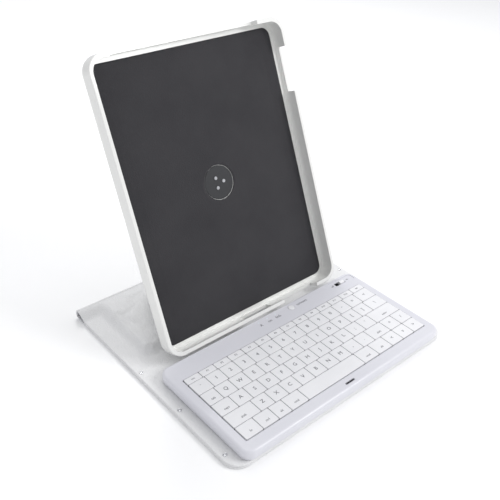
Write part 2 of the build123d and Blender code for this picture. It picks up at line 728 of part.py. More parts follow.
with BuildPart() as tray_liner:
    with BuildSketch(TRAY.offset(-TRAY_FLOOR)):
        RectangleRounded(POCKET[0] - 2 * LINER_INSET, POCKET[1] - 2 * LINER_INSET, POCKET[2] - LINER_INSET)
        Circle(CAP_R + LINER_HOLE_GAP, mode=Mode.SUBTRACT)
    extrude(amount=LINER_T)
save(tray_liner, "tray_liner")

# Hook on the tray's right long side: it drops into the slot in the keyboard's front rim
with BuildPart() as latch_tab:
    with BuildSketch(TRAY.offset(TAB[2])):
        with Locations((TRAY_W / 2 + TAB[0] / 2, sum(TAB_V) / 2)):
            Rectangle(TAB[0], TAB_V[1] - TAB_V[0])
    extrude(amount=TAB[1])
    with BuildSketch(TRAY.offset(TAB[2] - TAB_HOOK[1])):
        with Locations((TRAY_W / 2 + TAB[0] - TAB_HOOK[0] / 2, sum(TAB_V) / 2)):
            Rectangle(TAB_HOOK[0], TAB_V[1] - TAB_V[0])
    extrude(amount=TAB_HOOK[1])
    fillet(latch_tab.edges().filter_by(TRAY_AXIS), TAB_EDGE)
save(latch_tab, "latch_tab")

# ---------------------------------------------------------------- swivel and tilt
CAP_SCREWS = PolarLocations(CAP_SCREW_PCR, CAP_SCREW_COUNT)
BRACKET_SCREWS = [
    (side * BRACKET_SCREW_AT[0], end * BRACKET_SCREW_AT[1]) for side in (-1, 1) for end in (-1, 1)
]

with BuildPart() as swivel_disc:
    with BuildSketch(TRAY.offset(-DISC_BACK)):
        Circle(DISC_R)
    extrude(amount=DISC_T)
    with BuildSketch(TRAY.offset(-DISC_BACK)):
        Circle(HUB_R)
    extrude(amount=DISC_BACK - CAP_FLOOR + RUN)
    with BuildSketch(TRAY.offset(-DISC_BACK + CAP_SCREW_FLOOR)):
        with CAP_SCREWS:
            Circle(CAP_SCREW[0] + RUN)
    extrude(amount=DISC_BACK, mode=Mode.SUBTRACT)
    with BuildSketch(TRAY.offset(-DISC_BACK)):
        with Locations(*BRACKET_SCREWS):
            Circle(SCREW_R + RUN)
    extrude(amount=BRACKET_SCREW_BITE + 2 * RUN, mode=Mode.SUBTRACT)
save(swivel_disc, "swivel_disc")

with BuildPart() as hub_cap:
    with BuildSketch(TRAY.offset(-CAP_FLOOR + RUN)):
        Circle(CAP_R)
        with CAP_SCREWS:
            Circle(CAP_SCREW[0] + RUN, mode=Mode.SUBTRACT)
    extrude(amount=CAP_T)
save(hub_cap, "hub_cap")

with BuildPart() as hub_screws:
    with BuildSketch(TRAY.offset(-CAP_FLOOR + RUN + CAP_T)):
        with CAP_SCREWS:
            Circle(CAP_SCREW[1])
    extrude(amount=CAP_SCREW[2])
    with BuildSketch(TRAY.offset(-DISC_BACK + CAP_SCREW_FLOOR + 4 * RUN)):
        with CAP_SCREWS:
            Circle(CAP_SCREW[0])
    extrude(amount=DISC_BACK - CAP_SCREW_FLOOR - 3 * RUN - CAP_FLOOR + CAP_T)
save(hub_screws, "hub_screws")

with BuildPart() as tilt_bracket:
    with BuildSketch(TRAY.offset(-BRACKET_BACK)):
        RectangleRounded(BRACKET[0], BRACKET[1], BRACKET_CORNER)
    extrude(amount=BRACKET[2])
    for start, end in ((-EAR_X[1], -EAR_X[0]), (EAR_X[0], EAR_X[1])):
        with BuildSketch(TRAY.offset(-PIVOT_W)):
            with Locations(((start + end) / 2, 0)):
                Rectangle(end - start, 2 * EAR_R)
        extrude(amount=PIVOT_W - BRACKET_BACK)
    add(barrel(((-EAR_X[1], -EAR_X[0]), (EAR_X[0], EAR_X[1])), PIVOT, EAR_R))
    add(bore(PIVOT), mode=Mode.SUBTRACT)
    with BuildSketch(TRAY.offset(-BRACKET_BACK)):
        with Locations(*BRACKET_SCREWS):
            Circle(SCREW_R + RUN)
    extrude(amount=BRACKET[2], mode=Mode.SUBTRACT)
save(tilt_bracket, "tilt_bracket")

with BuildPart() as bracket_screws:
    with BuildSketch(TRAY.offset(-BRACKET_BACK - SCREW_HEAD_H)):
        with Locations(*BRACKET_SCREWS):
            Circle(SCREW_HEAD_R)
    extrude(amount=SCREW_HEAD_H)
    with BuildSketch(TRAY.offset(-BRACKET_BACK)):
        with Locations(*BRACKET_SCREWS):
            Circle(SCREW_R)
    extrude(amount=BRACKET[2] + BRACKET_SCREW_BITE)
save(bracket_screws, "bracket_screws")
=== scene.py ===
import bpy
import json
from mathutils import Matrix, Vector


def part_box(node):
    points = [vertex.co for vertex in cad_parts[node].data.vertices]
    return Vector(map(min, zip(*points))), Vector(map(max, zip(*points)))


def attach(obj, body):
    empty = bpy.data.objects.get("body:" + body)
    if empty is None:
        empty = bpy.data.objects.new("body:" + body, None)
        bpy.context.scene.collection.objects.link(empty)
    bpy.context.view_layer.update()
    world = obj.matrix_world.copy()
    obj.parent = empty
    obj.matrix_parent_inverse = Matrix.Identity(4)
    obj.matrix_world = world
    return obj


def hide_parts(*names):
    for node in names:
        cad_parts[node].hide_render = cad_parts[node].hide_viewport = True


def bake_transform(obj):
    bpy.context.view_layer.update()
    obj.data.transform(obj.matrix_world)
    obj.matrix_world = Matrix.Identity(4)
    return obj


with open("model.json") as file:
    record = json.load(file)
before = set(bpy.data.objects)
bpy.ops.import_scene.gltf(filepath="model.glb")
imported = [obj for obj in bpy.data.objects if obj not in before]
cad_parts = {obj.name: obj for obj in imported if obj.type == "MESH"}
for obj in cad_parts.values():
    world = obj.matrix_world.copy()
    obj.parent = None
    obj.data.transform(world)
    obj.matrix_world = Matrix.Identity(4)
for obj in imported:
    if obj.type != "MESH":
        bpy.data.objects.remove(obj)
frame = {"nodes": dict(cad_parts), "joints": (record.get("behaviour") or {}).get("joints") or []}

"""Tablet keyboard case: leather folio, keyboard, tray and stand, dressed and detailed.

Every length is in metres unless a name ends in _mm. X runs along the keyboard, +Y points to
the spine at the back and +Z is up; the case stands on the plane z = 0.
"""

import json
import logging
from dataclasses import dataclass, field
from enum import Enum
from math import cos, pi, radians, sin

import bmesh
import bpy
from mathutils import Matrix, Vector, noise

logging.basicConfig(level=logging.INFO, format="%(message)s")
log = logging.getLogger("case")

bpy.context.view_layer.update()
MM = 0.001
SHARP = radians(60)


# ------------------------------------------------------------------ colour and node helpers
def linear(hex_code: str) -> tuple[float, float, float, float]:
    """Turn an sRGB hex colour into linear RGBA.

    Args:
        hex_code: Six hex digits, with or without a leading '#'.

    Returns:
        Linear red, green, blue and an alpha of 1.
    """
    digits = hex_code.lstrip("#")
    values = [int(digits[i:i + 2], 16) / 255 for i in (0, 2, 4)]
    converted = [v / 12.92 if v <= 0.04045 else ((v + 0.055) / 1.055) ** 2.4 for v in values]
    return (*converted, 1.0)


def add_node(tree: bpy.types.NodeTree, kind: str, settings: dict | None = None,
             inputs: dict | None = None) -> bpy.types.Node:
    """Add one shader node.

    Args:
        tree: The node tree it joins.
        kind: The node's bl_idname.
        settings: Attributes of the node itself.
        inputs: Input name or index to a constant, or to an output socket to link from.

    Returns:
        The new node.
    """
    node = tree.nodes.new(kind)
    for name, value in (settings or {}).items():
        setattr(node, name, value)
    for key, value in (inputs or {}).items():
        if isinstance(value, bpy.types.NodeSocket):
            tree.links.new(value, node.inputs[key])
        else:
            node.inputs[key].default_value = value
    return node


class Relief(Enum):
    """How a finish's surface was made, which sets the kind of fine relief it has."""

    GRAIN = "embossed leather grain"
    MOULDED = "spark-eroded mould texture"
    POLISHED = "polished mould"
    NAP = "brushed microfibre nap"
    BRUSHED = "brushed metal"
    FIBRE = "pressed fibre"


COAT_ROUGHNESS = 0.12
SHEEN_ROUGHNESS = 0.4
BRUSH_STRETCH = 0.06
SPECK_DETAIL = {Relief.MOULDED: 1.0, Relief.POLISHED: 0.0, Relief.NAP: 5.0, Relief.FIBRE: 4.0}


@dataclass(frozen=True)
class Finish:
    """One real material, with how it was made and how it catches light.

    Attributes:
        name: What it is, in a maker's words.
        base: sRGB hex of its main colour.
        shade: sRGB hex of its darker variation, also used for the painted shade in the relief's low spots.
        relief: How the surface was made.
        grain_mm: Size of one grain, fibre or scratch.
        depth: Bump strength, 0 to 1.
        roughness: Mean roughness.
        spread: How much the roughness varies over the surface.
        metallic: 1 for a metal.
        ior: Refractive index of a plastic or a coating.
        coat: Clear coat weight.
        sheen: Sheen weight, for a nap.
        mottle_mm: Size of the slow colour variation.
        mottle: How strong that variation is, 0 to 1; half of it sets how strong the painted shade in the
            relief's low spots is.
    """

    name: str
    base: str
    shade: str
    relief: Relief
    grain_mm: float
    depth: float
    roughness: float
    spread: float = 0.06
    metallic: float = 0.0
    ior: float = 1.5
    coat: float = 0.0
    sheen: float = 0.0
    mottle_mm: float = 60.0
    mottle: float = 0.35

    def material(self) -> bpy.types.Material:
        """Build the finish's material, once.

        Returns:
            The material, made of procedural nodes on object coordinates.
        """
        found = bpy.data.materials.get(self.name)
        if found:
            return found
        material = bpy.data.materials.new(self.name)
        material.use_nodes = True
        tree = material.node_tree
        tree.nodes.clear()
        place = add_node(tree, "ShaderNodeTexCoord").outputs["Object"]
        grain, height = self._relief(tree, place)
        mottle = add_node(tree, "ShaderNodeTexNoise", inputs={
            "Vector": place, "Scale": 1 / (self.mottle_mm * MM), "Detail": 3.0, "Roughness": 0.55})
        soft = add_node(tree, "ShaderNodeMapRange", inputs={
            "Value": mottle.outputs["Fac"], "From Min": 0.35, "From Max": 0.7,
            "To Min": 0.0, "To Max": self.mottle})
        colour = add_node(tree, "ShaderNodeMix", {"data_type": "RGBA"}, {
            "Factor": soft.outputs["Result"], 6: linear(self.base), 7: linear(self.shade)})
        # Painted shade: the colour darkens towards the shade colour in the relief's low spots, such as the
        # grooves between leather grains.
        low_spot_painted_shade = add_node(tree, "ShaderNodeMapRange", inputs={
            "Value": grain, "From Min": 0.0, "From Max": 0.35, "To Min": 0.5 * self.mottle, "To Max": 0.0})
        painted_shade_colour = add_node(tree, "ShaderNodeMix", {"data_type": "RGBA"}, {
            "Factor": low_spot_painted_shade.outputs["Result"], 6: colour.outputs[2], 7: linear(self.shade)})
        rough = add_node(tree, "ShaderNodeMapRange", inputs={
            "Value": grain, "From Min": 0.0, "From Max": 1.0,
            "To Min": self.roughness - self.spread, "To Max": self.roughness + self.spread})
        bump = add_node(tree, "ShaderNodeBump", inputs={
            "Height": height, "Strength": self.depth, "Distance": self.grain_mm * MM * 0.4})
        shader = add_node(tree, "ShaderNodeBsdfPrincipled", inputs={
            "Base Color": painted_shade_colour.outputs[2], "Roughness": rough.outputs["Result"],
            "Normal": bump.outputs["Normal"], "Metallic": self.metallic, "IOR": self.ior,
            "Coat Weight": self.coat, "Coat Roughness": COAT_ROUGHNESS, "Sheen Weight": self.sheen,
            "Sheen Roughness": SHEEN_ROUGHNESS})
        add_node(tree, "ShaderNodeOutputMaterial", inputs={"Surface": shader.outputs["BSDF"]})
        return material

    def _relief(self, tree: bpy.types.NodeTree,
                place: bpy.types.NodeSocket) -> tuple[bpy.types.NodeSocket, bpy.types.NodeSocket]:
        """Make the fine relief of the finish.

        Args:
            tree: The material's nodes.
            place: Coordinates in metres.

        Returns:
            A 0 to 1 grain pattern, and the height for the bump.
        """
        scale = 1 / (self.grain_mm * MM)
        if self.relief is Relief.GRAIN:
            wobble = add_node(tree, "ShaderNodeTexNoise", inputs={
                "Vector": place, "Scale": scale * 0.7, "Detail": 2.0})
            bent = add_node(tree, "ShaderNodeMix", {"data_type": "VECTOR"}, {
                "Factor": 0.0012, 4: place, 5: wobble.outputs["Color"]})
            cells = add_node(tree, "ShaderNodeTexVoronoi", {"feature": "DISTANCE_TO_EDGE"}, {
                "Vector": bent.outputs[1], "Scale": scale})
            fine = add_node(tree, "ShaderNodeTexNoise", inputs={
                "Vector": place, "Scale": scale * 2.6, "Detail": 3.0})
            total = add_node(tree, "ShaderNodeMath", {"operation": "MULTIPLY_ADD"}, {
                0: fine.outputs["Fac"], 1: 0.35, 2: cells.outputs["Distance"]})
            return cells.outputs["Distance"], total.outputs[0]
        if self.relief is Relief.BRUSHED:
            stretched = add_node(tree, "ShaderNodeMapping", inputs={
                "Vector": place, "Scale": (BRUSH_STRETCH, 1.0, 1.0)})
            lines = add_node(tree, "ShaderNodeTexNoise", inputs={
                "Vector": stretched.outputs["Vector"], "Scale": scale, "Detail": 2.0})
            return lines.outputs["Fac"], lines.outputs["Fac"]
        speck = add_node(tree, "ShaderNodeTexNoise", inputs={
            "Vector": place, "Scale": scale, "Detail": SPECK_DETAIL[self.relief],
            "Roughness": 0.6})
        return speck.outputs["Fac"], speck.outputs["Fac"]


# Polyurethane leather on the folio: embossed pebble grain, drawn at 1.6 mm so that it shows
WHITE_LEATHER = Finish("white polyurethane leather, embossed", "#E9E9E9", "#D2D2D4", Relief.GRAIN,
                       grain_mm=1.6, depth=0.7, roughness=0.52, spread=0.08, ior=1.47, mottle=0.3)
# Grey microfibre inside the rolled spine: short speckled nap
SPECKLED_LINING = Finish("speckled grey microfibre", "#EDEDEF", "#77787C", Relief.NAP,
                         grain_mm=1.1, depth=0.5, roughness=0.9, sheen=0.3, mottle_mm=2.2, mottle=1.0)
# ABS keyboard housing: cool white, satin from a fine spark-eroded mould
HOUSING_ABS = Finish("cool white ABS, satin moulded", "#DADAE0", "#CDCDD5", Relief.MOULDED,
                     grain_mm=0.9, depth=0.08, roughness=0.34, spread=0.05, ior=1.53, coat=0.25, mottle=0.3)
# ABS keycaps: warmer and drier than the housing, with a fingertip texture
KEYCAP_ABS = Finish("white ABS keycap, textured", "#EAEAEC", "#DADADE", Relief.MOULDED,
                    grain_mm=0.7, depth=0.12, roughness=0.46, ior=1.53, mottle_mm=25, mottle=0.3)
# ABS tray: polished, slightly warm
TRAY_ABS = Finish("white ABS, polished", "#EBEBE8", "#DBDBD9", Relief.POLISHED,
                  grain_mm=6.0, depth=0.03, roughness=0.2, spread=0.04, ior=1.53, coat=0.5, mottle=0.25)
# Suede microfibre that lines the tray: dark, with a nap that catches light at grazing angles
TRAY_SUEDE = Finish("charcoal microfibre suede", "#343336", "#27262A", Relief.NAP,
                    grain_mm=1.2, depth=0.4, roughness=0.92, spread=0.04, sheen=0.12, mottle_mm=45,
                    mottle=0.5)
# Nickel-plated sheet steel, brushed: fine lines along it that draw the glint out
STEEL = Finish("nickel-plated steel, brushed", "#C9CACD", "#9FA0A4", Relief.BRUSHED,
               grain_mm=0.5, depth=0.12, roughness=0.3, metallic=1.0, mottle_mm=20, mottle=0.4)
# Bright nickel rivets, barrel-polished: small hard glints along the leather edge
STUD_NICKEL = Finish("bright nickel rivet", "#DCDDDF", "#8D8E92", Relief.POLISHED,
                     grain_mm=1.0, depth=0.06, roughness=0.24, metallic=1.0, mottle_mm=4, mottle=0.4)
# Dark moulded acetal: a dull near-black that sets the moving parts apart
DARK_ACETAL = Finish("dark acetal, moulded", "#2B2C2F", "#1B1C1E", Relief.MOULDED,
                     grain_mm=0.6, depth=0.15, roughness=0.48, ior=1.48, mottle=0.5)
# Pressed fibre board, die-cut: brown flecked edge, seen only where the leather opens
FIBRE_BOARD = Finish("pressed fibre board", "#8C7A62", "#6A5A46", Relief.FIBRE,
                     grain_mm=1.4, depth=0.4, roughness=0.85, mottle_mm=12, mottle=0.7)
# Compression-moulded silicone domes: milky and softly shiny
SILICONE = Finish("translucent silicone rubber", "#C9CBD2", "#B0B3BC", Relief.POLISHED,
                  grain_mm=3.0, depth=0.05, roughness=0.5, ior=1.41, mottle=0.3)
# Green solder mask, screen-printed on glass fibre: mottled satin
CIRCUIT = Finish("green solder mask", "#1E5A3A", "#123A26", Relief.MOULDED,
                 grain_mm=0.8, depth=0.2, roughness=0.35, mottle_mm=5, mottle=0.8)
# Heat-sealed aluminium pouch foil: dull directional sheen
POUCH_FOIL = Finish("aluminium pouch foil", "#B9BABD", "#98999D", Relief.BRUSHED,
                    grain_mm=0.8, depth=0.2, roughness=0.35, metallic=1.0, mottle_mm=9, mottle=0.5)
# Frosted acrylic rod: a pale bright dot in the deck
LIGHT_PIPE = Finish("frosted clear acrylic", "#E9EEF4", "#CBD3DD", Relief.POLISHED,
                    grain_mm=1.0, depth=0.05, roughness=0.25, ior=1.49, mottle=0.2)
# Pad-printed grey ink: flat and matt, with slightly uneven cover
LEGEND_INK = Finish("grey pad-printed ink", "#55565D", "#45464C", Relief.MOULDED,
                    grain_mm=0.3, depth=0.05, roughness=0.55, mottle_mm=3, mottle=0.5)
# Slit acrylic foam tape: matt dark grey
TAPE = Finish("acrylic foam tape", "#6C6D70", "#58595C", Relief.NAP,
              grain_mm=0.7, depth=0.2, roughness=0.8, mottle=0.4)
# Bonded polyester thread, twisted: soft fuzz that lifts the seam off the leather
THREAD = Finish("bonded polyester thread", "#EDEDEA", "#CFCFCC", Relief.NAP,
                grain_mm=0.25, depth=0.5, roughness=0.7, sheen=0.2, mottle_mm=3, mottle=0.5)


# ------------------------------------------------------------------ mesh helpers
def as_object(mesh: bmesh.types.BMesh, name: str, finishes: list[Finish],
              smooth: bool = True) -> bpy.types.Object:
    """Turn a finished bmesh into an object at the origin.

    Args:
        mesh: The bmesh, which is freed.
        name: The object's name.
        finishes: Its material slots, in order.
        smooth: Whether its faces shade smooth.

    Returns:
        The new object, linked to the scene.
    """
    for face in mesh.faces:
        face.smooth = smooth
    data = bpy.data.meshes.new(name)
    mesh.to_mesh(data)
    mesh.free()
    for finish in finishes:
        data.materials.append(finish.material())
    piece = bpy.data.objects.new(name, data)
    bpy.context.scene.collection.objects.link(piece)
    return piece


def round_edges(mesh: bmesh.types.BMesh, width: float, segments: int = 3) -> None:
    """Bevel every edge sharper than a limit.

    Args:
        mesh: The bmesh to round.
        width: Bevel width.
        segments: Bevel segments.
    """
    sharp = [e for e in mesh.edges if len(e.link_faces) == 2 and e.calc_face_angle(0.0) > SHARP]
    bmesh.ops.bevel(mesh, geom=sharp, offset=width, offset_type="OFFSET", affect="EDGES", segments=segments,
                    profile=0.5, material=-1, clamp_overlap=True)


def ease(t: float) -> float:
    """Smooth step from 0 to 1."""
    t = min(max(t, 0.0), 1.0)
    return t * t * (3 - 2 * t)


def rounded_rectangle_distance(x: float, y: float, half_x: float, half_y: float, radius: float) -> float:
    """Signed distance from a point to a rounded rectangle about the origin, negative inside."""
    qx = abs(x) - half_x + radius
    qy = abs(y) - half_y + radius
    outside = (max(qx, 0.0) ** 2 + max(qy, 0.0) ** 2) ** 0.5
    return outside + min(max(qx, qy), 0.0) - radius


def round_corners(mesh: bmesh.types.BMesh, half_x: float, half_y: float, radius: float,
                  rear_too: bool = True) -> None:
    """Bend the corner cells of a flat grid round, so that its outline has round corners.

    Args:
        mesh: The grid, centred on the origin.
        half_x: Half its width.
        half_y: Half its depth.
        radius: Corner radius.
        rear_too: Whether the corners at +Y are rounded as well as those at -Y.
    """
    for vert in mesh.verts:
        dx = (abs(vert.co.x) - (half_x - radius)) / radius
        dy = (abs(vert.co.y) - (half_y - radius)) / radius
        if dx > 0 and dy > 0 and (rear_too or vert.co.y < 0):
            side = 1 if vert.co.x > 0 else -1
            end = 1 if vert.co.y > 0 else -1
            vert.co.x = side * (half_x - radius + radius * dx * (1 - dy * dy / 2) ** 0.5)
            vert.co.y = end * (half_y - radius + radius * dy * (1 - dx * dx / 2) ** 0.5)


def place_frame(origin: Vector, across: Vector, up: Vector) -> Matrix:
    """Matrix that puts a piece drawn in XY onto a plane.

    Args:
        origin: Where the drawing's origin goes.
        across: Direction of the drawing's X.
        up: Direction of the drawing's Y.

    Returns:
        The placing matrix.
    """
    normal = across.cross(up)
    rotation = Matrix((across, up, normal)).transposed().to_4x4()
    return Matrix.Translation(origin) @ rotation


# ------------------------------------------------------------------ folio
WELD = 1e-6
# How thin upholstery leather gives in the cloth solver
SOFT_LEATHER = {"quality": 5, "mass": 0.08, "tension_stiffness": 20, "compression_stiffness": 20,
                "bending_stiffness": 0.6}
RIVET_STEPS = 32
RIVET_MIDDLE_Y = -41 * MM
RIVET_PROFILE_MM = (
    (0.0, 0.42), (0.8, 0.36), (1.05, 0.16), (1.2, 0.16), (1.45, 0.5), (1.75, 0.42), (1.9, 0.05),
    (1.9, -0.2), (0.0, -0.2))


@dataclass
class Folio:
    """Leather folio: base panel with a padded rise, rolled spine, and the cover folded underneath.

    Attributes:
        cell: Spacing of the panel grids.
        corner: Radius of the front corners.
        rise_height: Height of the padded rise over the panel.
        rise_slope: Width of its soft slopes.
        rise_overrun: How far the rise runs on behind its pad, so that it melts into the spine.
        edge: Rounding of the leather's turned edges.
        slack: Cloth shrink while the padding settles; below 0 the leather is cut large.
        pressure: Push of the padding on the leather.
        settle_frames: Frames the leather settles for.
        settle_cap: Furthest a point may move while it settles.
        roll_steps: Facets round the rolled spine.
        rise_corner: Corner radius of the rise.
        ruffle: How deep the leather ruffles over the padding.
        calm_edge: Width along the panel's edges where the ruffles die out.
        calm_foot: Width round the stand's foot where the leather is held.
        calm_spine: Width before the spine where the leather is held.
    """

    cell: float = 2.2 * MM
    corner: float = 14 * MM
    rise_height: float = 6.0 * MM
    rise_slope: float = 9 * MM
    rise_overrun: float = 18 * MM
    edge: float = 0.75 * MM
    slack: float = -0.02
    pressure: float = 2.0
    settle_frames: int = 16
    settle_cap: float = 0.9 * MM
    roll_steps: int = 18
    rise_corner: float = 12 * MM
    ruffle: float = 0.22 * MM
    calm_edge: float = 8 * MM
    calm_foot: float = 6 * MM
    calm_spine: float = 10 * MM

    def __post_init__(self) -> None:
        """Read the folio's places from the frame."""
        self.low, self.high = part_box("base_top_leather")
        self.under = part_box("base_under_skin")[0][2]
        self.top = self.high[2]
        self.spine_low, self.spine_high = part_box("spine_leather")
        self.pad_low, self.pad_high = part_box("rise_pad")
        self.crest = self.spine_high[2]
        self.roll = self.crest / 2
        self.roll_y = self.spine_high[1] - self.roll

    def _panel_grid(self, front: float, rear: float) -> bmesh.types.BMesh:
        """Make a flat grid with round front corners.

        Args:
            front: Y of the front edge.
            rear: Y of the rear edge.

        Returns:
            The grid, at z = 0.
        """
        half_x = self.high[0]
        half_y = (rear - front) / 2
        mesh = bmesh.new()
        bmesh.ops.create_grid(mesh, x_segments=round(2 * half_x / self.cell),
                              y_segments=round(2 * half_y / self.cell), size=1.0)
        bmesh.ops.scale(mesh, vec=(half_x, half_y, 1), verts=mesh.verts)
        round_corners(mesh, half_x, half_y, self.corner, rear_too=False)
        bmesh.ops.translate(mesh, vec=(0, (rear + front) / 2, 0), verts=mesh.verts)
        return mesh

    def _thicken(self, mesh: bmesh.types.BMesh, thickness: float) -> None:
        """Give a skin its thickness and turned edges.

        Args:
            mesh: The skin, as its outer surface.
            thickness: How far the other side lies behind it.
        """
        bmesh.ops.recalc_face_normals(mesh, faces=mesh.faces)
        if sum(f.normal.z for f in mesh.faces) < 0:
            bmesh.ops.reverse_faces(mesh, faces=mesh.faces)
        bmesh.ops.solidify(mesh, geom=mesh.faces[:], thickness=thickness)
        round_edges(mesh, self.edge)

    def _rise_depth(self, x: float, y: float) -> float:
        """How far inside the padded rise's outline a place lies; negative outside it."""
        rear = self.pad_high[1] + self.rise_overrun
        middle = (self.pad_low[1] + rear) / 2
        half = (rear - self.pad_low[1]) / 2
        return -rounded_rectangle_distance(x, y - middle, self.pad_high[0], half, self.rise_corner)

    def _surface(self, x: float, y: float) -> float:
        """Height of the base's leather at a place, with the padded rise and the roll to the spine."""
        inside = self._rise_depth(x, y)
        height = self.rise_height * ease(inside / self.rise_slope)
        climb = ease((y - self.low_spine) / (self.roll_y - self.low_spine))
        height = max(height, (self.crest - self.top) * climb)
        broad = noise.noise(Vector((x * 22, y * 34, 0.3)))
        fine = noise.noise(Vector((x * 60, y * 75, 4.1)))
        pull = broad + 0.5 * fine
        ruffle = self.ruffle * pull * ease(inside / (0.5 * self.rise_slope) + 0.4)
        near_edge = min(self.high[0] - abs(x), y - self.low[1], self.roll_y - y) / self.calm_edge
        return self.top + height + ruffle * ease(near_edge)

    def _settle(self, mesh: bmesh.types.BMesh) -> None:
        """Let the leather over the padding swell and pucker as cloth, held all round the rise.

        Args:
            mesh: The base's outer skin, whose points are moved.
        """
        foot_low, foot_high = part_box("hinge_foot")
        data = bpy.data.meshes.new("settling")
        mesh.to_mesh(data)
        skin = bpy.data.objects.new("settling", data)
        bpy.context.scene.collection.objects.link(skin)
        held = skin.vertex_groups.new(name="held")
        for vert in data.vertices:
            free = ease(self._rise_depth(vert.co.x, vert.co.y) / self.rise_slope)
            free *= ease((self.roll_y - 2 * MM - vert.co.y) / self.calm_spine)
            near_foot = max(abs(vert.co.x) - foot_high.x, foot_low.y - vert.co.y,
                            vert.co.y - foot_high.y)
            held.add([vert.index], 1 - free * ease(near_foot / self.calm_foot), "REPLACE")
        cloth = skin.modifiers.new("cloth", "CLOTH")
        for setting, value in SOFT_LEATHER.items():
            setattr(cloth.settings, setting, value)
        cloth.settings.vertex_group_mass = held.name
        cloth.settings.shrink_min = self.slack
        cloth.settings.use_pressure = True
        cloth.settings.uniform_pressure_force = self.pressure
        cloth.settings.effector_weights.gravity = 0
        cloth.point_cache.frame_start = 1
        cloth.point_cache.frame_end = self.settle_frames
        for frame_number in range(1, self.settle_frames + 1):
            bpy.context.scene.frame_set(frame_number)
        settled = skin.evaluated_get(bpy.context.evaluated_depsgraph_get()).data
        mesh.verts.ensure_lookup_table()
        furthest = 0.0
        for vert in settled.vertices:
            move = vert.co - mesh.verts[vert.index].co
            furthest = max(furthest, move.length)
            if move.length > self.settle_cap:
                move *= self.settle_cap / move.length
            point = mesh.verts[vert.index]
            point.co += move
            point.co.z = max(point.co.z, self.top)
        bpy.data.objects.remove(skin)
        bpy.data.meshes.remove(data)
        bpy.context.scene.frame_set(1)
        log.info("folio: leather settled, up to %.2f mm before the cap", furthest / MM)

    @property
    def low_spine(self) -> float:
        """Y where the leather starts to climb to the spine."""
        return self.spine_low[1] - 1 * MM

    def base_cover(self) -> bpy.types.Object:
        """Make the base panel's leather, from the front edge to the crest of the spine."""
        mesh = self._panel_grid(self.low[1], self.roll_y)
        for vert in mesh.verts:
            vert.co.z = self._surface(vert.co.x, vert.co.y)
        self._settle(mesh)
        self._thicken(mesh, self.top - self.under)
        self._line_inside(mesh)
        piece = as_object(mesh, "base_leather", [WHITE_LEATHER, SPECKLED_LINING])
        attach(piece, "base")
        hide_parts("base_top_leather", "base_under_skin", "rise_pad")
        return piece

    def _line_inside(self, mesh: bmesh.types.BMesh) -> None:
        """Give the faces that look into the rolled spine the lining's slot."""
        middle = Vector((0, self.roll_y, self.roll))
        for face in mesh.faces:
            to_axis = middle - face.calc_center_median()
            to_axis.x = 0
            if face.calc_center_median().y > self.low_spine + 4 * MM and face.normal.dot(to_axis) > 0:
                face.material_index = 1

    def spine_fold(self) -> bpy.types.Object:
        """Make the rolled leather from the crest, round the back, to the foot."""
        mesh = bmesh.new()
        half = self.high[0]
        count = round(2 * half / self.cell)
        places = [-half + 2 * half * i / count for i in range(count + 1)]
        verts = [mesh.verts.new((x, self.roll_y, self.crest)) for x in places]
        edges = [mesh.edges.new(pair) for pair in zip(verts, verts[1:])]
        bmesh.ops.spin(mesh, geom=verts + edges, cent=(0, self.roll_y, self.roll), axis=(-1, 0, 0),
                       angle=pi, steps=self.roll_steps, use_merge=False)
        bmesh.ops.recalc_face_normals(mesh, faces=mesh.faces)
        middle_z = self.roll
        outward = sum(face.normal.z * (face.calc_center_median().z - middle_z) for face in mesh.faces)
        if outward < 0:
            bmesh.ops.reverse_faces(mesh, faces=mesh.faces)
        bmesh.ops.solidify(mesh, geom=mesh.faces[:], thickness=self.top - self.under)
        round_edges(mesh, self.edge)
        self._line_inside(mesh)
        piece = as_object(mesh, "spine_fold", [WHITE_LEATHER, SPECKLED_LINING])
        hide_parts("spine_leather")
        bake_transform(piece)
        return piece

    def lid_cover(self) -> bpy.types.Object:
        """Make the cover panel that is folded under the base."""
        lid_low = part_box("lid_under_skin")[0]
        lid_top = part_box("lid_top_leather")[1][2]
        mesh = self._panel_grid(lid_low[1], self.roll_y)
        for vert in mesh.verts:
            vert.co.z = lid_top
        self._thicken(mesh, lid_top - lid_low[2])
        self._line_inside(mesh)
        piece = as_object(mesh, "lid_leather", [WHITE_LEATHER, SPECKLED_LINING])
        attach(piece, "lid")
        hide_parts("lid_top_leather", "lid_under_skin")
        return piece

    def studs(self) -> bpy.types.Object:
        """Make the rivets along both side edges: a rolled ring round a domed centre."""
        low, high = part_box("edge_studs")
        radius = RIVET_PROFILE_MM[-2][0] * MM
        rows = (high[1] - radius, RIVET_MIDDLE_Y, low[1] + radius)
        mesh = bmesh.new()
        for side in (-1, 1):
            for y in rows:
                verts = [mesh.verts.new((r * MM, 0, z * MM)) for r, z in RIVET_PROFILE_MM]
                edges = [mesh.edges.new(pair) for pair in zip(verts, verts[1:])]
                known = set(mesh.verts) - set(verts)
                bmesh.ops.spin(mesh, geom=verts + edges, cent=(0, 0, 0), axis=(0, 0, 1), angle=2 * pi,
                               steps=RIVET_STEPS, use_merge=True)
                made = [vert for vert in mesh.verts if vert not in known]
                bmesh.ops.translate(mesh, vec=(side * (high[0] - radius), y, self.top), verts=made)
        bmesh.ops.remove_doubles(mesh, verts=mesh.verts, dist=WELD)
        bmesh.ops.recalc_face_normals(mesh, faces=mesh.faces)
        piece = as_object(mesh, "edge_rivets", [STUD_NICKEL])
        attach(piece, "base")
        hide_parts("edge_studs")
        return piece

    def build(self) -> None:
        """Build every piece of the folio."""
        for make in (self.base_cover, self.spine_fold, self.lid_cover, self.studs):
            piece = make()
            log.info("folio: %s, %d faces", piece.name, len(piece.data.polygons))


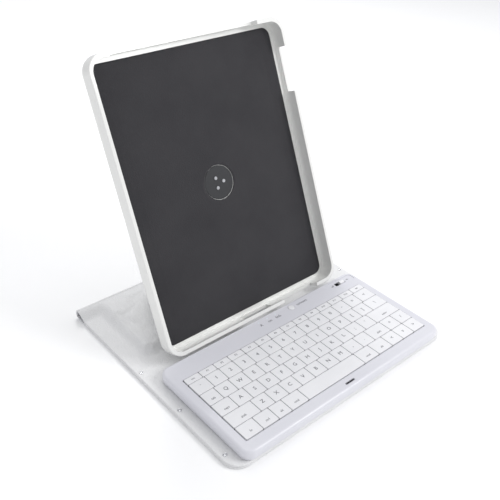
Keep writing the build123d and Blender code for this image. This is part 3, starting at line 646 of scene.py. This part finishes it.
# ------------------------------------------------------------------ printed legends
@dataclass
class Printer:
    """Prints small marks as thin raised ink on a flat top.

    Attributes:
        thickness: Height of the ink.
    """

    thickness: float = 0.05 * MM

    def letters(self, text: str, x: float, y: float, z: float, size: float) -> bpy.types.Mesh:
        """Make one word or letter as a flat mesh.

        Args:
            text: What it says.
            x: Centre along X.
            y: Centre along Y.
            z: Height of the surface it is printed on.
            size: Text size.

        Returns:
            The mesh, in place.
        """
        curve = bpy.data.curves.new("ink", "FONT")
        curve.body = text
        curve.size = size
        curve.align_x = "CENTER"
        curve.align_y = "CENTER"
        curve.resolution_u = 2
        curve.extrude = self.thickness / 2
        holder = bpy.data.objects.new("ink", curve)
        bpy.context.scene.collection.objects.link(holder)
        bpy.context.view_layer.update()
        flat = bpy.data.meshes.new_from_object(holder)
        flat.transform(Matrix.Translation((x, y, z + self.thickness / 2)))
        bpy.data.objects.remove(holder)
        bpy.data.curves.remove(curve)
        return flat

    def join(self, meshes: list[bpy.types.Mesh], name: str, body: str) -> bpy.types.Object:
        """Join printed marks into one piece on a body.

        Args:
            meshes: The marks, which are freed.
            name: The piece's name.
            body: The body it rides on.

        Returns:
            The joined piece.
        """
        mesh = bmesh.new()
        for part in meshes:
            mesh.from_mesh(part)
            bpy.data.meshes.remove(part)
        bmesh.ops.remove_doubles(mesh, verts=mesh.verts, dist=WELD)
        for face in mesh.faces:
            face.material_index = 0
        piece = as_object(mesh, name, [LEGEND_INK], smooth=False)
        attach(piece, body)
        return piece


# ------------------------------------------------------------------ keyboard
@dataclass
class Keyboard:
    """Keyboard housing, keycaps with their legends, and the controls behind them.

    Attributes:
        letter: Width of a letter key in key units.
        row_units: Width of a row in key units.
        gap: Space between keycaps.
        letter_size: Text size of a single character.
        word_size: Text size of a word.
        function_scale: How much smaller the function row's text is.
        word_drop: How far a word sits below its key's middle, as a share of the row pitch.
        light_mark: Text size beside the lights.
        light_drop: How far in front of the lights their marks sit.
        light_radius: Radius of a light.
        button_mark: Text size beside the connect button.
        button_shift: Distance from the button to its mark.
        switch_mark: Text size beside the power switch.
        off_shift: Distance from the knob's left end to its "off" mark.
        on_shift: Distance from the knob's right end to its "on" mark.
        switch_recess: Depth of the recess that the switch's marks are printed in.
        printer: What prints the marks.
    """

    letter: float = 0.98
    row_units: float = 14.0
    gap: float = 0.6 * MM
    letter_size: float = 5.0 * MM
    word_size: float = 3.0 * MM
    function_scale: float = 0.9
    word_drop: float = 0.16
    light_mark: float = 4.2 * MM
    light_drop: float = 3.2 * MM
    light_radius: float = 0.8 * MM
    button_mark: float = 4.0 * MM
    button_shift: float = 13 * MM
    switch_mark: float = 3.0 * MM
    off_shift: float = 9.6 * MM
    on_shift: float = 4.0 * MM
    switch_recess: float = 0.5 * MM
    printer: Printer = field(default_factory=Printer)

    def _rows(self) -> list[tuple[float, list[tuple[float, str, str]]]]:
        """Lay the keys out, rear row first.

        Returns:
            For each row its height in rows, and its keys as (width in key units, legend, node).
        """
        letter = self.letter

        def run(marks: str, node: str) -> list[tuple[float, str, str]]:
            """A run of letter keys that share a node."""
            return [(letter, mark, node) for mark in marks]

        function = [(1.0, mark, "function_keys") for mark in
                    ("esc", *(f"F{i}" for i in range(1, 13)), "del")]
        number = [(1.05, "`", "number_keys"), *run("1234567890-=", "number_keys"),
                  (1.19, "<", "backspace_key")]
        upper = [(0.92, "tab", "tab_key"), *run("QWERTYUIOP[]", "upper_letter_keys"),
                 (1.32, "\\", "upper_letter_keys")]
        home = [(1.14, "caps", "caps_key"), *run("ASDFGHJKL;'", "home_letter_keys"),
                (2.08, "enter", "enter_key")]
        lower = [(1.82, "shift", "left_shift_key"), *run("ZXCVBNM,.", "lower_letter_keys"),
                 (1.4, "shift", "right_shift_key"), (letter, "^", "up_key"),
                 (letter, "/", "lower_letter_keys")]
        foot = [(1.14, "fn", "modifier_keys"), (1.06, "ctrl", "modifier_keys"),
                (0.9, "alt", "modifier_keys"), (1.2, "cmd", "modifier_keys"), (4.4, "", "space_key"),
                (1.2, "cmd", "modifier_keys"), (1.16, "alt", "modifier_keys"),
                (letter, "<", "left_key"), (letter, "v", "down_key"), (letter, ">", "right_key")]
        return [(0.5, function), (1.0, number), (1.0, upper), (1.0, home), (1.0, lower), (1.0, foot)]

    def legends(self) -> None:
        """Print every keycap's legend, one piece for each key node."""
        low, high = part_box("function_keys")
        left = low[0] - self.gap / 2
        unit = (high[0] - low[0] + self.gap) / self.row_units
        pitch = (high[1] - low[1] + self.gap) * 2
        rear = high[1] + self.gap / 2
        marks: dict[str, list[bpy.types.Mesh]] = {}
        for rows_high, keys in self._rows():
            x = left
            depth = rows_high * pitch
            for units, text, node in keys:
                centre = x + units * unit / 2
                if text:
                    word = len(text) > 1
                    size = self.word_size if word else self.letter_size
                    size *= self.function_scale if rows_high < 1 else 1.0
                    drop = self.word_drop * pitch if word and rows_high == 1 else 0.0
                    marks.setdefault(node, []).append(
                        self.printer.letters(text, centre, rear - depth / 2 - drop, high[2], size))
                x += units * unit
            rear -= depth
        for node, meshes in marks.items():
            self.printer.join(meshes, f"{node}_legends", node)
        log.info("keyboard: legends on %d nodes", len(marks))

    def deck_marks(self) -> None:
        """Print the marks beside the lights, the connect button and the power switch."""
        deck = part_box("keyboard_top_shell")[1][2]
        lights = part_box("light_pipes")
        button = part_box("connect_button")
        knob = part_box("power_knob")
        light_y = lights[0][1] - self.light_drop
        span = lights[1][0] - lights[0][0] - 2 * self.light_radius
        meshes = []
        for text, share in (("A", 0.0), ("on", 0.5), ("link", 1.0)):
            x = lights[0][0] + self.light_radius + share * span
            meshes.append(self.printer.letters(text, x, light_y, deck, self.light_mark))
        button_x = (button[0][0] + button[1][0]) / 2 + self.button_shift
        button_y = (button[0][1] + button[1][1]) / 2
        meshes.append(self.printer.letters("connect", button_x, button_y, deck, self.button_mark))
        knob_y = (knob[0][1] + knob[1][1]) / 2
        recess = deck - self.switch_recess
        for text, x in (("off", knob[0][0] - self.off_shift), ("on", knob[1][0] + self.on_shift)):
            meshes.append(self.printer.letters(text, x, knob_y, recess, self.switch_mark))
        self.printer.join(meshes, "deck_marks", "base")

    def dress(self) -> None:
        """Give the keyboard's own pieces their finishes."""
        finishes = {
            "keyboard_top_shell": HOUSING_ABS, "keyboard_bottom_shell": HOUSING_ABS,
            "connect_button": KEYCAP_ABS, "power_knob": KEYCAP_ABS, "key_plate": STEEL,
            "contact_film": DARK_ACETAL, "dome_sheet": SILICONE, "circuit_board": CIRCUIT,
            "battery": POUCH_FOIL, "charging_socket": STEEL, "connect_switch": DARK_ACETAL,
            "power_switch": DARK_ACETAL, "light_pipes": LIGHT_PIPE, "keyboard_screws": STEEL,
            "keyboard_tape": TAPE}
        for node in frame["nodes"]:
            if node.endswith("_keys") or node.endswith("_key"):
                finishes[node] = KEYCAP_ABS
        dress_nodes(finishes)

    def build(self) -> None:
        """Build and dress the keyboard."""
        self.dress()
        self.legends()
        self.deck_marks()


def dress_nodes(finishes: dict[str, Finish]) -> None:
    """Put finishes on the frame's own pieces.

    Args:
        finishes: Node name to its finish.
    """
    for node, finish in finishes.items():
        piece = frame["nodes"][node]
        piece.data.materials.clear()
        piece.data.materials.append(finish.material())
        log.info("dressed %s in %s", node, finish.name)


# ------------------------------------------------------------------ tray and stand
@dataclass
class TrayAndStand:
    """Tray with its suede lining, swivel disc, and the hinged stand with its leather back.

    Attributes:
        lean: How far the tray leans back from upright.
        stitch_length: Length of one stitch on the stand's back.
        stitch_gap: Space between stitches.
        seam_inset: How far the seam runs inside the leather's edge.
        corner: Corner radius of the lining and of the stand's leather.
        lining_hole: Radius of the hole round the swivel's cap.
        border: How far inside the lining's edge its pressed border runs.
        border_width: Half width of that pressed line.
        border_depth: How deep it is pressed.
        lining_thickness: Thickness of the lining.
        seam_depth: How deep the seam pulls the stand's leather in.
        crown: How high the padding under it stands.
        thread: Half thickness of the seam's thread.
    """

    lean: float = radians(23.26)
    stitch_length: float = 2.6 * MM
    stitch_gap: float = 1.2 * MM
    seam_inset: float = 3.5 * MM
    corner: float = 8 * MM
    lining_hole: float = 15.2 * MM
    border: float = 12 * MM
    border_width: float = 2.4 * MM
    border_depth: float = 0.18 * MM
    lining_thickness: float = 0.4 * MM
    seam_depth: float = 0.3 * MM
    crown: float = 0.55 * MM
    thread: float = 0.34 * MM

    def lining(self) -> bpy.types.Object:
        """Make the suede lining: a soft sheet with pressed panels, on the tray's floor."""
        low, high = (Vector(corner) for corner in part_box("tray_liner"))
        up = Vector((0, sin(self.lean), cos(self.lean)))
        out = Vector((0, -cos(self.lean), sin(self.lean)))
        centre = (low + high) / 2
        half_x = (high.x - low.x) / 2
        thickness = self.lining_thickness
        half_v = ((high.y - low.y) - thickness * cos(self.lean)) / sin(self.lean) / 2
        mesh = bmesh.new()
        bmesh.ops.create_grid(mesh, x_segments=92, y_segments=118, size=1.0)
        bmesh.ops.scale(mesh, vec=(half_x, half_v, 1), verts=mesh.verts)
        cap = self.lining_hole
        round_corners(mesh, half_x, half_v, self.corner)
        hole = [f for f in mesh.faces if f.calc_center_median().xy.length < cap]
        bmesh.ops.delete(mesh, geom=hole, context="FACES")
        for vert in mesh.verts:
            distance = vert.co.xy.length
            if vert.is_boundary and distance < cap * 1.3:
                vert.co.xy *= cap / distance
            border = rounded_rectangle_distance(
                vert.co.x, vert.co.y, half_x - self.border, half_v - self.border, 10 * MM)
            press = self.border_depth * (1 - ease(abs(border) / self.border_width))
            vert.co.z = thickness - press + 0.05 * MM * noise.noise(vert.co * 120)
        bmesh.ops.solidify(mesh, geom=mesh.faces[:], thickness=thickness * 0.8)
        matrix = place_frame(centre - out * (thickness / 2), Vector((1, 0, 0)), up)
        bmesh.ops.transform(mesh, matrix=matrix, verts=mesh.verts)
        bmesh.ops.recalc_face_normals(mesh, faces=mesh.faces)
        piece = as_object(mesh, "tray_lining", [TRAY_SUEDE])
        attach(piece, "tray")
        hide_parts("tray_liner")
        return piece

    def _stand_frame(self) -> tuple[Vector, Vector, Vector, float, float]:
        """Work out the stand leather's plane.

        Returns:
            Its centre, its up and outward directions, its half width and its half height.
        """
        joints = {joint["name"]: joint for joint in frame["joints"]}
        foot = Vector(joints["stand_hinge"]["pos_m"])
        head = Vector(joints["tray_tilt"]["pos_m"])
        up = (head - foot).normalized()
        out = Vector((0, up.z, -up.y))
        low, high = (Vector(corner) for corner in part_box("stand_leather"))
        thickness = 1.0 * MM
        half_v = ((high.z - low.z) - thickness * abs(out.z)) / up.z / 2
        return (low + high) / 2, up, out, (high.x - low.x) / 2, half_v

    def stand_back(self) -> bpy.types.Object:
        """Make the leather back of the stand: a crowned pad with turned edges."""
        centre, up, out, half_x, half_v = self._stand_frame()
        mesh = bmesh.new()
        bmesh.ops.create_grid(mesh, x_segments=72, y_segments=56, size=1.0)
        bmesh.ops.scale(mesh, vec=(half_x, half_v, 1), verts=mesh.verts)
        round_corners(mesh, half_x, half_v, self.corner)
        for vert in mesh.verts:
            inside = -rounded_rectangle_distance(vert.co.x, vert.co.y, half_x, half_v, self.corner)
            seam = self.seam_depth * (1 - ease(abs(inside - self.seam_inset) / (1.3 * MM)))
            crown = self.crown * ease((inside - self.seam_inset) / (16 * MM))
            vert.co.z = 0.3 * MM + crown - seam + 0.08 * MM * noise.noise(vert.co * 70)
        bmesh.ops.solidify(mesh, geom=mesh.faces[:], thickness=0.75 * MM)
        round_edges(mesh, 0.3 * MM, segments=2)
        matrix = place_frame(centre + out * (0.05 * MM), Vector((-1, 0, 0)), up)
        bmesh.ops.transform(mesh, matrix=matrix, verts=mesh.verts)
        bmesh.ops.recalc_face_normals(mesh, faces=mesh.faces)
        piece = as_object(mesh, "stand_back_leather", [WHITE_LEATHER])
        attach(piece, "stand")
        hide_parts("stand_leather")
        return piece

    def stitches(self) -> bpy.types.Object:
        """Sew the seam round the stand's back: one small rounded thread loop per stitch."""
        centre, up, out, half_x, half_v = self._stand_frame()
        across = Vector((-1, 0, 0))
        straight_x = half_x - self.corner
        straight_v = half_v - self.corner
        pitch = self.stitch_length + self.stitch_gap
        places: list[tuple[float, float, bool]] = []
        for side in (-1, 1):
            for i in range(int(2 * straight_x / pitch)):
                along = -straight_x + (i + 0.5) * pitch
                places.append((along, side * (half_v - self.seam_inset), True))
            for i in range(int(2 * straight_v / pitch)):
                along = -straight_v + (i + 0.5) * pitch
                places.append((side * (half_x - self.seam_inset), along, False))
        mesh = bmesh.new()
        for u, v, along_x in places:
            made = bmesh.ops.create_icosphere(mesh, subdivisions=1, radius=1.0)["verts"]
            long, short = self.stitch_length / 2, self.thread
            size = (long, short, short) if along_x else (short, long, short)
            bmesh.ops.scale(mesh, vec=size, verts=made)
            origin = centre + across * u + up * v + out * (0.45 * MM)
            bmesh.ops.transform(mesh, matrix=place_frame(origin, across, up), verts=made)
        piece = as_object(mesh, "stand_seam", [THREAD])
        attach(piece, "stand")
        return piece

    def dress(self) -> None:
        """Give the tray's, swivel's and stand's own pieces their finishes."""
        dress_nodes({
            "tray_shell": TRAY_ABS, "latch_tab": TRAY_ABS, "swivel_disc": DARK_ACETAL,
            "hub_cap": DARK_ACETAL, "hub_screws": STEEL, "tilt_bracket": STEEL,
            "bracket_screws": STEEL, "tilt_pin": STEEL, "stand_plate": TRAY_ABS,
            "hinge_foot": STEEL, "hinge_pin": STEEL, "foot_screws": STEEL,
            "stand_riser": TRAY_ABS, "base_board": FIBRE_BOARD, "lid_board": FIBRE_BOARD})

    def build(self) -> None:
        """Build and dress the tray and the stand."""
        self.dress()
        for make in (self.lining, self.stand_back, self.stitches):
            piece = make()
            log.info("tray and stand: %s, %d faces", piece.name, len(piece.data.polygons))


# ------------------------------------------------------------------ studio
@dataclass
class Studio:
    """Pale floor, soft lights and the camera.

    Attributes:
        camera_place: Where the lens is.
        azimuth: Direction of view, turned from +Y towards +X.
        dip: How far the view looks down.
        roll: Turn of the camera about its view.
        lens_mm: Focal length on a 36 mm sensor.
    """

    camera_place: Vector = field(default_factory=lambda: Vector((-0.3341, -0.3581, 0.4080)))
    azimuth: float = radians(41.7)
    dip: float = radians(33.57)
    roll: float = radians(2.0)
    lens_mm: float = 50.0

    def camera(self) -> None:
        """Set up the camera."""
        flat = Vector((sin(self.azimuth), cos(self.azimuth), 0))
        ahead = flat * cos(self.dip) - Vector((0, 0, sin(self.dip)))
        level = Vector((cos(self.azimuth), -sin(self.azimuth), 0))
        rise = level.cross(ahead)
        right = level * cos(self.roll) + rise * sin(self.roll)
        up = rise * cos(self.roll) - level * sin(self.roll)
        data = bpy.data.cameras.new("camera")
        data.lens = self.lens_mm
        data.sensor_width = 36.0
        eye = bpy.data.objects.new("camera", data)
        turn = Matrix((right, up, -ahead)).transposed().to_4x4()
        eye.matrix_world = Matrix.Translation(self.camera_place) @ turn
        bpy.context.scene.collection.objects.link(eye)
        bpy.context.scene.camera = eye

    def light(self, name: str, place: tuple[float, float, float], size: float, power: float) -> None:
        """Add a soft square light aimed at the case.

        Args:
            name: The light's name.
            place: Where it stands.
            size: Side of its square.
            power: Its power in watts.
        """
        data = bpy.data.lights.new(name, "AREA")
        data.size = size
        data.energy = power
        lamp = bpy.data.objects.new(name, data)
        aim = Vector((0, 0, 0.08)) - Vector(place)
        turn = aim.to_track_quat("-Z", "Y").to_matrix().to_4x4()
        lamp.matrix_world = Matrix.Translation(place) @ turn
        bpy.context.scene.collection.objects.link(lamp)

    def floor(self) -> None:
        """Lay the pale floor."""
        mesh = bmesh.new()
        bmesh.ops.create_grid(mesh, x_segments=2, y_segments=2, size=6.0)
        paper = Finish("white studio paper", "#FFFFFF", "#FBFBFB", Relief.MOULDED,
                       grain_mm=3.0, depth=0.02, roughness=0.8, mottle_mm=300, mottle=0.3)
        floor = as_object(mesh, "floor", [paper], smooth=False)
        floor.data.transform(Matrix.Translation((0, 0, -0.0002)))

    def build(self) -> None:
        """Build the studio."""
        self.camera()
        self.floor()
        self.light("key_light", (0.65, -0.85, 0.95), 0.5, 7.0)
        self.light("top_light", (0.2, 0.1, 1.5), 1.0, 3.0)
        self.light("back_light", (0.45, 0.95, 0.95), 0.5, 5.0)
        self.light("left_fill", (-1.2, -0.5, 0.6), 1.0, 0.6)
        world = bpy.data.worlds.new("studio")
        bpy.context.scene.world = world
        world.use_nodes = True
        world.node_tree.nodes["Background"].inputs["Color"].default_value = linear("#F8F9FC")
        world.node_tree.nodes["Background"].inputs["Strength"].default_value = 0.7
        bpy.context.scene.view_settings.view_transform = "Standard"


def main() -> None:
    """Build the studio and the case."""
    Studio().build()
    Folio().build()
    Keyboard().build()
    TrayAndStand().build()


if __name__ == "__main__":
    main()
